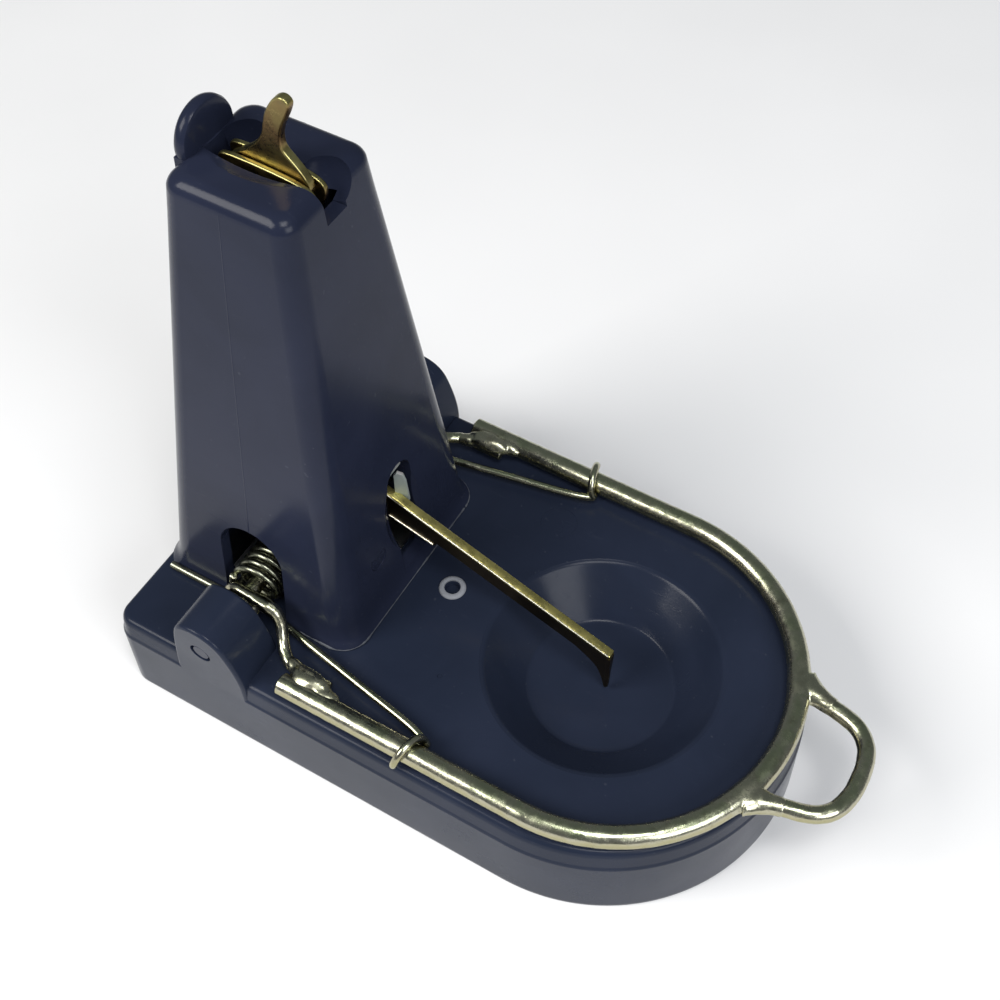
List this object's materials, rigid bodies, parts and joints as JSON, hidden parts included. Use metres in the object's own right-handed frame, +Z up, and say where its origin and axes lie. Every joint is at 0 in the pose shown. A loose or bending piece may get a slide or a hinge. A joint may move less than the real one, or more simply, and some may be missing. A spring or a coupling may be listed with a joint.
{
  "type": "snap mouse trap",
  "caption": "Moulded plastic snap mouse trap with a tall hollow tower, a sprung U-shaped steel bail with a pull handle, a catch, and a trigger lever over a round bait cup.",
  "frame": {"origin": "middle of the bounding box's footprint, on the floor under the trap", "axes": "+X from the tower to the pull handle, +Z up, +Y to the trap's far side"},
  "size_m": [0.1106, 0.0616, 0.1028],
  "materials": {
    "moulded_plastic": "glossy dark blue-grey moulded plastic",
    "zinc_steel": "yellow-zinc plated steel wire",
    "gold_steel": "brassy zinc-plated pressed steel"
  },
  "bodies": {
    "frame": {"base_shell": "moulded_plastic", "tower": "moulded_plastic", "pivot_axle": "zinc_steel", "axle_plug_near": "moulded_plastic", "axle_plug_far": "moulded_plastic", "spring_coil_near": "zinc_steel", "spring_coil_far": "zinc_steel", "catch_pin": "zinc_steel", "trigger_pin": "zinc_steel", "catch_spring": "zinc_steel"},
    "bail": {"bail_rod": "zinc_steel", "handle_loop": "zinc_steel", "pivot_arm_near": "zinc_steel", "pivot_arm_far": "zinc_steel", "weld_arm_near": "zinc_steel", "weld_arm_far": "zinc_steel", "weld_handle_near": "zinc_steel", "weld_handle_far": "zinc_steel", "spring_leg_near": "zinc_steel", "spring_leg_far": "zinc_steel"},
    "catch": {"catch_lever": "gold_steel"},
    "trigger": {"trigger_lever": "gold_steel"}
  },
  "joints": [
    {"name": "bail_hinge", "type": "hinge", "parent": "frame", "child": "bail", "pos_m": [-0.03619, 0, 0.0219], "axis": [0, -1, 0], "range_deg": [0, 94], "stiffness_Nm_per_rad": 0.2, "springref_deg": -85.94},
    {"name": "catch_hinge", "type": "hinge", "parent": "frame", "child": "catch", "pos_m": [-0.03309, 0, 0.0856], "axis": [0, -1, 0], "range_deg": [0, 12], "stiffness_Nm_per_rad": 0.05, "springref_deg": -17.19},
    {"name": "trigger_hinge", "type": "hinge", "parent": "frame", "child": "trigger", "pos_m": [-0.02539, 0, 0.0328], "axis": [0, -1, 0], "range_deg": [0, 14]}
  ]
}
